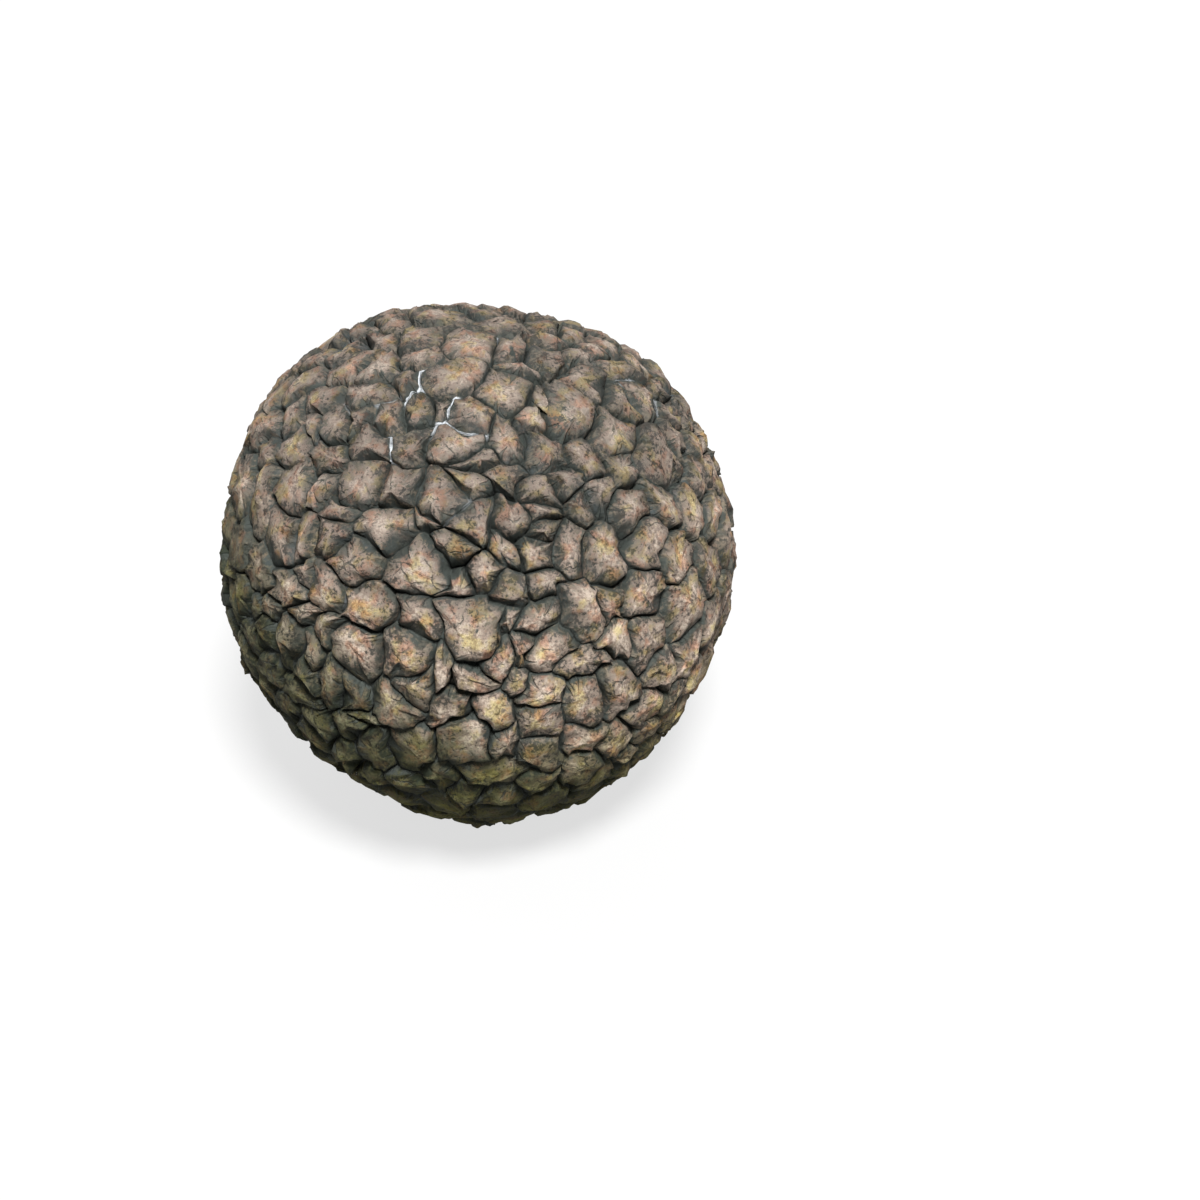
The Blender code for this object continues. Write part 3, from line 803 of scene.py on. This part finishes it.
def wedge_grid(pattern, draws, shape, wedges, step_count):
    """Directions, heights, masks and streaks of the grid points of the wedges with one number of steps,
    in arrays (wedge, row, column).

    Across the grid s runs along the furrow, and t from the wart's top to the furrow: the direction is
    top (1 - t) + border(s) t, made one long. The height is the top's rise, fading out by the brow, less
    a flute between two ridges, then the flank's fall to the lip, which is deeper on a wide flank, and
    then the crevice's steep fall to the furrow's bottom."""
    s = np.linspace(0.0, 1.0, step_count + 1)
    wart = pattern["wart"][wedges]
    corner_before = pattern["corners"][pattern["before"][wedges]][:, None, None, :]
    corner_after = pattern["corners"][pattern["after"][wedges]][:, None, None, :]
    border = unit(corner_before * (1.0 - s[:, None]) + corner_after * s[:, None])
    top = pattern["tops"][wart][:, None, None, :]
    side = wedge_profile(pattern, draws, shape, wedges, s, border - top)
    lip, brow, lip_depth = side["lip"], side["brow"], side["lip_depth"]

    rows = [0.0 * lip] + [way * brow for way in TOP_WAYS]
    rows += [brow + way * (lip - brow) for way in FLANK_WAYS]
    rows += [lip + way * (1.0 - lip) for way in CREVICE_WAYS] + [np.ones_like(lip)]
    t = np.concatenate(rows, axis=1)
    directions = unit(top * (1.0 - t[..., None]) + border * t[..., None])

    on_top = np.clip(t / brow, 0.0, 1.0)
    flank = np.clip((t - brow) / (lip - brow), 0.0, 1.0)
    gap = np.clip((t - lip) / (1.0 - lip), 0.0, 1.0)
    crest = 1.0 - on_top**CREST_POWER
    rise = (shape.dome + pattern["top_rise"][wart])[:, None, None] * crest
    away = directions - top
    lean = (pattern["lean"] + draws["tilt"])[wart][:, None, None, :]
    lean = np.sum(lean * away, axis=-1) * HALF_WIDTH * (1.0 - LEAN_FADING * flank) * (1.0 - gap)
    flute = side["flute"] * on_top * (1.0 - flank)
    fall = lip_depth * flank**FLANK_POWER + (1.0 - lip_depth) * gap**CREVICE_POWER
    masks = {
        "crest": crest,
        "fall": flank + gap,
        "furrow_distance": MILLIMETRES * (1.0 - t) * side["reach"],
        "thread": np.broadcast_to(side["thread"], t.shape),
        "wide": np.broadcast_to(side["wide"], t.shape),
        "tone": np.broadcast_to(draws["tone"][wart][:, None, None], t.shape),
    }
    span = np.linalg.norm(away, axis=-1, keepdims=True)
    streak = away / np.maximum(span, TINY) * (span > TINY) + draws["streak_start"][wart][:, None, None, :]
    return directions, rise + lean - flute - side["depth"] * fall, masks, streak


def with_relief(directions, heights, fall, pattern, draws, shape):
    """The points and hole masks: the heights plus knobs |waves|, roughness and holes, each a hollow
    of depth exp(-(distance / radius)^2)."""
    places = directions * HALF_WIDTH
    on_top = np.clip(1.0 - fall, 0.0, 1.0)
    knobs = np.abs(wave_sum(places, draws["knobs"])) - KNOB_LEVEL
    lumps = np.abs(wave_sum(places, draws["lumps"])) - KNOB_LEVEL
    heights = heights + shape.knob_height * (knobs + LUMP_SHARE * lumps) * on_top
    above_lip = np.clip(ROUGH_REACH - fall, 0.0, 1.0)
    heights = heights + shape.roughness_height * wave_sum(places, draws["roughness"]) * above_lip
    holes = np.zeros(len(places))
    for place, radius, depth in zip(*hole_table(pattern)):
        distance = np.linalg.norm(directions - place, axis=1) * HALF_WIDTH
        hollow = np.exp(-((distance / radius) ** 2))
        heights = heights - depth * hollow
        holes = np.maximum(holes, hollow * min(1.0, depth / SHADED_HOLE))
    pushed = np.stack([wave_sum(places, bundle) for bundle in draws["fine_wander"]], axis=-1)
    moved = unit(directions + FINE_WANDER / HALF_WIDTH * pushed)
    return surface_points(moved, heights, pattern), holes


def crust_arrays(shape):
    """Points, triangles and point attributes of the fine crust."""
    pattern = wart_pattern()
    draws = finer_draws(pattern)
    classes, count = grid_numbers(pattern)
    directions = np.zeros((count, 3))
    heights = np.zeros(count)
    streaks = np.zeros((count, 3))
    masks = {name: np.zeros(count) for name in MASKS}
    triangles = []
    for wedges, numbers in classes:
        step_count = numbers.shape[2] - 1
        grid, height, mask, streak = wedge_grid(pattern, draws, shape, wedges, step_count)
        directions[numbers] = grid
        heights[numbers] = height
        streaks[numbers] = streak
        for name, values in mask.items():
            masks[name][numbers] = values
        inner_left, inner_right = numbers[:, :-1, :-1], numbers[:, :-1, 1:]
        outer_left, outer_right = numbers[:, 1:, :-1], numbers[:, 1:, 1:]
        first = np.stack((inner_left, outer_left, outer_right), axis=-1)
        second = np.stack((inner_left, outer_right, inner_right), axis=-1)[:, 1:]
        triangles += [first.reshape(-1, 3), second.reshape(-1, 3)]
    points, masks["hole"] = with_relief(directions, heights, masks["fall"], pattern, draws, shape)
    return points - middle_of_floor(pattern), np.vstack(triangles), masks, streaks


def new_object(name, data):
    """An object with a mesh, a light or a camera, linked to the scene."""
    thing = bpy.data.objects.new(name, data)
    bpy.context.scene.collection.objects.link(thing)
    return thing


def mesh_piece(name, points, triangles):
    """A smooth mesh object of points and triangles."""
    mesh = bpy.data.meshes.new(name)
    mesh.vertices.add(len(points))
    mesh.vertices.foreach_set("co", points.astype(np.float32).ravel())
    mesh.loops.add(triangles.size)
    mesh.loops.foreach_set("vertex_index", triangles.astype(np.int32).ravel())
    mesh.polygons.add(len(triangles))
    mesh.polygons.foreach_set("loop_start", np.arange(0, triangles.size, 3, dtype=np.int32))
    mesh.update(calc_edges=True)
    mesh.validate()
    mesh.shade_smooth()
    return new_object(name, mesh)


def add_attributes(mesh, masks, streaks):
    """Puts the masks and the streak vectors on the mesh's points."""
    for name, values in masks.items():
        layer = mesh.attributes.new(name, "FLOAT", "POINT")
        layer.data.foreach_set("value", values.astype(np.float32))
    layer = mesh.attributes.new("streak", "FLOAT_VECTOR", "POINT")
    layer.data.foreach_set("vector", streaks.astype(np.float32).ravel())


# Materials


class Nodes:
    """Adds and joins the nodes of one tree."""

    def __init__(self, tree):
        self.tree = tree
        self.count = 0

    def link(self, value, socket):
        """Leads a value into a socket: another node's output, a number or a colour."""
        if isinstance(value, bpy.types.NodeSocket):
            self.tree.links.new(value, socket)
        elif socket.type == "RGBA":
            socket.default_value = (*value, 1.0)
        else:
            socket.default_value = value

    def add(self, kind, inputs=None, **settings):
        """A node of a kind, with its settings, and with its inputs by name or number."""
        node = self.tree.nodes.new(kind)
        row, column = divmod(self.count, NODES_ABREAST)
        node.location = (NODE_WIDTH * column, -NODE_HEIGHT * row)
        self.count += 1
        for name, value in settings.items():
            setattr(node, name, value)
        for name, value in (inputs or {}).items():
            self.link(value, node.inputs[name])
        return node

    def attribute(self, name, output="Fac"):
        """A mask of the mesh, or its streak vectors."""
        return self.add("ShaderNodeAttribute", attribute_name=name).outputs[output]

    def noise(self, vector, name):
        """One of the named noises, which wavers about one half."""
        scale, detail, roughness = NOISES[name]
        values = {"Vector": vector, "Scale": scale, "Detail": detail, "Roughness": roughness}
        return self.add("ShaderNodeTexNoise", values).outputs["Fac"]

    def math(self, kind, first, second):
        """One step of arithmetic."""
        return self.add("ShaderNodeMath", {0: first, 1: second}, operation=kind).outputs[0]

    def plus(self, base, weight, value):
        """base + weight value."""
        inputs = {0: value, 1: weight, 2: base}
        return self.add("ShaderNodeMath", inputs, operation="MULTIPLY_ADD").outputs[0]

    def swayed(self, base, weight, value):
        """base + weight (value - 0.5)."""
        return self.plus(base, weight, self.math("SUBTRACT", value, 0.5))

    def product(self, first, *others):
        """All of them multiplied."""
        for other in others:
            first = self.math("MULTIPLY", first, other)
        return first

    def ramp(self, value, name):
        """The value mapped smoothly by one of the named ramps."""
        low, high, to_low, to_high = (*RAMPS[name], 0.0, 1.0)[:4]
        inputs = {"Value": value, "From Min": low, "From Max": high, "To Min": to_low, "To Max": to_high}
        return self.add("ShaderNodeMapRange", inputs, interpolation_type="SMOOTHSTEP").outputs["Result"]

    def places(self, vector, name):
        """The places where the named noise is past its own ramp."""
        return self.ramp(self.noise(vector, name), name)

    def mix(self, factor, first, second, blend="MIX"):
        """One colour over another."""
        inputs = {0: factor, 6: first, 7: second}
        return self.add("ShaderNodeMix", inputs, data_type="RGBA", blend_type=blend).outputs[2]


def crust_fields(nodes):
    """The noises and masks that the crust's colours share."""
    place = nodes.add("ShaderNodeTexCoord").outputs["Object"]
    fields = {name: nodes.noise(place, name) for name in ("flakes", "patches", "fine")}
    fields["place"] = place
    fields["ray"] = nodes.attribute("streak", "Vector")
    fields["streak"] = nodes.noise(fields["ray"], "streak")
    for name in ("crest", "fall"):
        fields[name] = nodes.attribute(name)
    fields["distance"] = nodes.attribute("furrow_distance")

    # How high and how far down on the truffle, and how far to its left, for the painted shade there and the
    # olive tint low down
    axes = nodes.add("ShaderNodeSeparateXYZ", {0: place})
    fields["height"] = axes.outputs["Z"]
    fields["high"] = nodes.ramp(fields["height"], "high")
    fields["low"] = nodes.swayed(fields["height"], SHADE_AND_OLIVE_PATCHES, fields["patches"])
    fields["shade"] = nodes.ramp(nodes.plus(fields["low"], SHADE_SLANT, axes.outputs["X"]), "shade")

    # What makes the furrows' outlines ragged
    flakes = nodes.math("SUBTRACT", fields["flakes"], 0.5)
    fields["ragged"] = nodes.swayed(flakes, RAGGED_FINE, fields["fine"])
    return fields


def top_colours(nodes, fields, finish):
    """The brown of the tops, in flakes of several tones, with painted shading across each domed top."""
    tone = nodes.plus(fields["flakes"], WART_TONE, nodes.attribute("tone"))
    # The crest lightens the middle of each domed top and darkens its rim: painted shading
    for name, weight in TONE_AND_SHADING_SWAYS.items():
        tone = nodes.swayed(tone, weight, fields[name])
    colour = nodes.mix(nodes.ramp(tone, "top"), finish.dark_colour, finish.top_colour)
    colour = nodes.mix(nodes.ramp(tone, "pale"), colour, finish.pale_colour)
    colour = nodes.mix(nodes.places(fields["place"], "warm"), colour, finish.warm_tint, "MULTIPLY")
    return nodes.mix(nodes.places(fields["place"], "yellow"), colour, finish.yellow_tint, "MULTIPLY")


def with_flanks(nodes, fields, finish, colour):
    """The dark flanks over the tops, where the fall, with noise and streaks, is past a threshold, with
    painted shade on the wide flanks.
    """
    # The dark flanks reach further where shade is painted: on the left, low down and high up
    edge = nodes.plus(fields["fall"], PAINTED_SHADE_EDGE, nodes.math("MAXIMUM", fields["shade"], fields["high"]))
    # Painted shade towards each top's rounded rim
    rim = nodes.math("SUBTRACT", 1.0, fields["crest"])
    edge = nodes.plus(edge, RIM_PAINTED_SHADE, nodes.product(rim, rim))
    for name, weight in EDGE_SWAYS.items():
        edge = nodes.swayed(edge, weight, fields[name])
    tone = nodes.swayed(fields["fine"], FLANK_STREAKS, fields["streak"])
    flank = nodes.mix(nodes.ramp(tone, "flank streaks"), finish.flank_and_shade_colour, finish.streak_colour)
    # Painted shade: the wider a flank, the darker it is painted, as the deep wide flanks lie in shade
    flank = nodes.mix(nodes.ramp(nodes.attribute("wide"), "wide"), flank, finish.furrow_and_shade_colour)
    covering = nodes.places(fields["place"], "covering")
    return nodes.mix(nodes.product(nodes.ramp(edge, "flank"), covering), colour, flank)


def with_painted_shade_and_stains(nodes, fields, finish, colour):
    """Painted shade, tinted green as by reflected grass, on the left and low down; painted shade high up; an
    olive tint at the bottom, partly soil and partly a painted reflection of grass; and blue grey dust on its
    upper side.
    """
    # Painted shade on the left and low down
    colour = nodes.mix(fields["shade"], colour, finish.shade_tint, "MULTIPLY")
    # Painted shade high up, where the key light falls most squarely
    colour = nodes.mix(fields["high"], colour, finish.high_painted_shade_tint, "MULTIPLY")
    # Olive tint at the bottom: partly soil, partly a painted reflection of grass
    colour = nodes.mix(nodes.ramp(fields["low"], "olive"), colour, finish.olive_soil_and_reflection_tint, "MULTIPLY")
    dust = nodes.product(
        nodes.places(fields["place"], "dust"),
        nodes.ramp(fields["height"], "dust height"),
        nodes.ramp(fields["fall"], "dust fall"),
    )
    return nodes.mix(dust, colour, finish.dust_colour)


def with_furrows(nodes, fields, finish, colour, shaded_gusset):
    """The furrows, the gussets of painted shade that run up the warts from them, and painted shade in the
    holes.
    """
    narrowed = nodes.product(fields["distance"], nodes.places(fields["place"], "narrowing"))
    line = nodes.plus(narrowed, RAGGED_LINE, fields["ragged"])
    colour = nodes.mix(nodes.ramp(line, "furrow"), colour, finish.furrow_and_shade_colour)
    # Painted shade in the gussets, in the flanks' colour
    colour = nodes.mix(nodes.product(shaded_gusset, GUSSET_PAINTED_SHADE), colour, finish.flank_and_shade_colour)
    # Painted shade in the holes, the darker the deeper
    hole = nodes.plus(nodes.attribute("hole"), RAGGED_HOLE, fields["ragged"])
    return nodes.mix(nodes.ramp(hole, "hole"), colour, finish.furrow_and_shade_colour)


def shaded_gusset_mask(nodes, fields):
    """Where gussets of painted shade run up between a wart's ridges."""
    shaded_gusset = nodes.plus(nodes.noise(fields["ray"], "shaded_gusset"), -GUSSET_LENGTH, fields["distance"])
    return nodes.ramp(nodes.plus(shaded_gusset, RAGGED_GUSSET, fields["ragged"]), "shaded_gusset")


def crack_mask(nodes, place):
    """Where fine cracks run, between cells that are pushed about, and where dark specks lie."""
    pushed = nodes.add("ShaderNodeTexNoise", {"Vector": place, "Scale": CRACK_PUSH_SCALE}).outputs["Color"]
    inputs = {0: pushed, 1: (CRACK_PUSH, CRACK_PUSH, CRACK_PUSH), 2: place}
    moved = nodes.add("ShaderNodeVectorMath", inputs, operation="MULTIPLY_ADD").outputs[0]
    inputs = {"Vector": moved, "Scale": CRACK_CELLS}
    cells = nodes.add("ShaderNodeTexVoronoi", inputs, feature="DISTANCE_TO_EDGE")
    cracked = nodes.places(place, "cracked")
    crack = nodes.product(nodes.ramp(cells.outputs["Distance"], "crack"), cracked, CRACK_DARKNESS)
    cells = nodes.add("ShaderNodeTexVoronoi", {"Vector": place, "Scale": SPECK_CELLS})
    chance = nodes.add("ShaderNodeSeparateColor", {0: cells.outputs["Color"]}).outputs[0]
    chosen = nodes.ramp(chance, "speck chance")
    speck = nodes.product(nodes.ramp(cells.outputs["Distance"], "speck"), chosen, SPECK_DARKNESS)
    return nodes.math("MAXIMUM", crack, speck)


def thread_mask(nodes, fields):
    """Where white threads lie along furrows, broken here and there."""
    line = nodes.ramp(nodes.plus(fields["distance"], RAGGED_THREAD, fields["ragged"]), "thread")
    threaded = nodes.ramp(nodes.attribute("thread"), "threaded")
    return nodes.product(line, nodes.places(fields["place"], "broken"), threaded)


def new_material(name):
    """A material, its shader and its nodes."""
    material = bpy.data.materials.new(name)
    material.use_nodes = True
    tree = material.node_tree
    return material, tree.nodes["Principled BSDF"], Nodes(tree)


def crust_material(finish):
    """The crust: brown flaky tops with painted shading, dark flanks with streaks, near black furrows, painted
    shade in gussets, holes and wide flanks, on the left, low down and high up, olive soil with painted grass
    reflection, dust and threads.
    """
    material, shader, nodes = new_material("truffle_crust")
    fields = crust_fields(nodes)
    shaded_gusset = shaded_gusset_mask(nodes, fields)
    crack = crack_mask(nodes, fields["place"])

    colour = top_colours(nodes, fields, finish)
    colour = with_flanks(nodes, fields, finish, colour)
    colour = with_painted_shade_and_stains(nodes, fields, finish, colour)
    colour = with_furrows(nodes, fields, finish, colour, shaded_gusset)
    colour = nodes.mix(crack, colour, finish.furrow_and_shade_colour)
    colour = nodes.mix(thread_mask(nodes, fields), colour, finish.thread_colour)
    nodes.link(colour, shader.inputs["Base Color"])

    dark = nodes.math("MAXIMUM", crack, shaded_gusset)
    grain = nodes.product(fields["fine"], GRAIN_FINE)
    grain = nodes.plus(grain, GRAIN_FLAKES, fields["flakes"])
    grain = nodes.plus(grain, GRAIN_STREAKS, fields["streak"])
    grain = nodes.plus(grain, -GRAIN_DARK, dark)
    bump = nodes.add("ShaderNodeBump", {"Strength": 1.0, "Distance": finish.grain_depth, "Height": grain})
    nodes.link(bump.outputs["Normal"], shader.inputs["Normal"])
    nodes.link(nodes.ramp(fields["fine"], "roughness"), shader.inputs["Roughness"])
    shader.inputs["Specular IOR Level"].default_value = SPECULAR
    return material


def floor_material(look):
    """The pale floor. To the camera it glows, so that shadows on it are faint, and the light it throws
    back is a share of what a pale floor would."""
    material, shader, nodes = new_material("pale_floor")
    thrown = [look.floor_bounce * part for part in look.floor_colour]
    lit = [(1.0 - look.floor_glow) * part for part in look.floor_colour]
    seen = nodes.add("ShaderNodeLightPath").outputs["Is Camera Ray"]
    nodes.link(nodes.mix(seen, thrown, lit), shader.inputs["Base Color"])
    shader.inputs["Emission Color"].default_value = (1.0, 1.0, 1.0, 1.0)
    nodes.link(nodes.product(seen, look.floor_glow), shader.inputs["Emission Strength"])
    shader.inputs["Roughness"].default_value = FLOOR_ROUGHNESS
    return material


# Operators


class TRUFFLE_OT_crust(bpy.types.Operator):
    """Builds the fine crust of the truffle in place of its solid"""

    bl_idname = "truffle.crust"
    bl_label = "Crust"

    def execute(self, context):
        scene = context.scene
        points, triangles, masks, streaks = crust_arrays(scene.truffle_shape)
        crust = mesh_piece("truffle_crust", points, triangles)
        add_attributes(crust.data, masks, streaks)
        crust.data.materials.append(crust_material(scene.truffle_finish))
        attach(crust, "root")
        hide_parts("truffle")
        return {"FINISHED"}


class TRUFFLE_OT_stage(bpy.types.Operator):
    """Makes the pale floor, the soft lights and the camera at the photograph's angle"""

    bl_idname = "truffle.stage"
    bl_label = "Stage"

    def execute(self, context):
        look = context.scene.truffle_stage
        make_floor(look)
        make_lights(look)
        make_camera(look)
        return {"FINISHED"}


def make_floor(look):
    """The floor, one wide plain sheet."""
    mesh = bpy.data.meshes.new("floor")
    corners = [(x * FLOOR_REACH, y * FLOOR_REACH, 0.0) for x, y in ((-1, -1), (1, -1), (1, 1), (-1, 1))]
    mesh.from_pydata(corners, [], [(0, 1, 2, 3)])
    mesh.materials.append(floor_material(look))
    floor = new_object("floor", mesh)


def make_light(name, towards, strength, spread):
    """A soft light that falls evenly everywhere, from a place in the sky, spread over so many degrees."""
    light = bpy.data.lights.new(name, "SUN")
    light.energy = strength
    light.angle = math.radians(spread)
    lamp = new_object(name, light)
    lamp.location = towards
    lamp.rotation_euler = Vector(towards).to_track_quat("Z", "Y").to_euler()


def make_lights(look):
    """A soft light high in front, a weak one behind, and an even pale world."""
    make_light("key_light", KEY_PLACE, look.key_strength, KEY_SPREAD)
    make_light("back_light", BACK_PLACE, look.back_strength, BACK_SPREAD)
    world = bpy.data.worlds.new("pale_world")
    world.use_nodes = True
    background = world.node_tree.nodes["Background"]
    background.inputs["Color"].default_value = (1.0, 1.0, 1.0, 1.0)
    background.inputs["Strength"].default_value = WORLD_STRENGTH
    bpy.context.scene.world = world


def make_camera(look):
    """The camera, at the photograph's angle. The truffle stands left of the picture's middle, as there."""
    data = bpy.data.cameras.new("camera")
    data.lens = LENS
    data.clip_start = NEAREST_SEEN
    camera = new_object("camera", data)
    camera.rotation_euler = Euler((0.5 * math.pi - FRONT_ELEVATION, 0.0, 0.0))
    middle = 0.5 * (CAD_BOX[0] + CAD_BOX[1])
    back = Vector((0.0, -math.cos(FRONT_ELEVATION), math.sin(FRONT_ELEVATION)))
    up = Vector((0.0, math.sin(FRONT_ELEVATION), math.cos(FRONT_ELEVATION)))
    right, raised = CAMERA_SHIFT
    camera.location = middle + look.camera_distance * back + right * Vector((1, 0, 0)) + raised * up
    bpy.context.scene.camera = camera
    bpy.context.scene.view_settings.view_transform = "Standard"


class TRUFFLE_PT_panel(bpy.types.Panel):
    """The truffle's settings and its two operators"""

    bl_idname = "TRUFFLE_PT_panel"
    bl_label = "Truffle"
    bl_space_type = "VIEW_3D"
    bl_region_type = "UI"
    bl_category = "Truffle"

    def draw(self, context):
        layout = self.layout
        scene = context.scene
        for group, names in (
            (scene.truffle_shape, CrustShape.__annotations__),
            (scene.truffle_finish, CrustFinish.__annotations__),
            (scene.truffle_stage, StageLook.__annotations__),
        ):
            box = layout.box()
            for name in names:
                box.prop(group, name)
        layout.operator(TRUFFLE_OT_crust.bl_idname)
        layout.operator(TRUFFLE_OT_stage.bl_idname)


CLASSES = (CrustShape, CrustFinish, StageLook, TRUFFLE_OT_crust, TRUFFLE_OT_stage, TRUFFLE_PT_panel)


def register():
    for kind in CLASSES:
        bpy.utils.register_class(kind)
    bpy.types.Scene.truffle_shape = PointerProperty(type=CrustShape)
    bpy.types.Scene.truffle_finish = PointerProperty(type=CrustFinish)
    bpy.types.Scene.truffle_stage = PointerProperty(type=StageLook)


def unregister():
    del bpy.types.Scene.truffle_stage
    del bpy.types.Scene.truffle_finish
    del bpy.types.Scene.truffle_shape
    for kind in reversed(CLASSES):
        bpy.utils.unregister_class(kind)


def main():
    register()
    bpy.ops.truffle.crust()
    bpy.ops.truffle.stage()


if __name__ == "__main__":
    main()
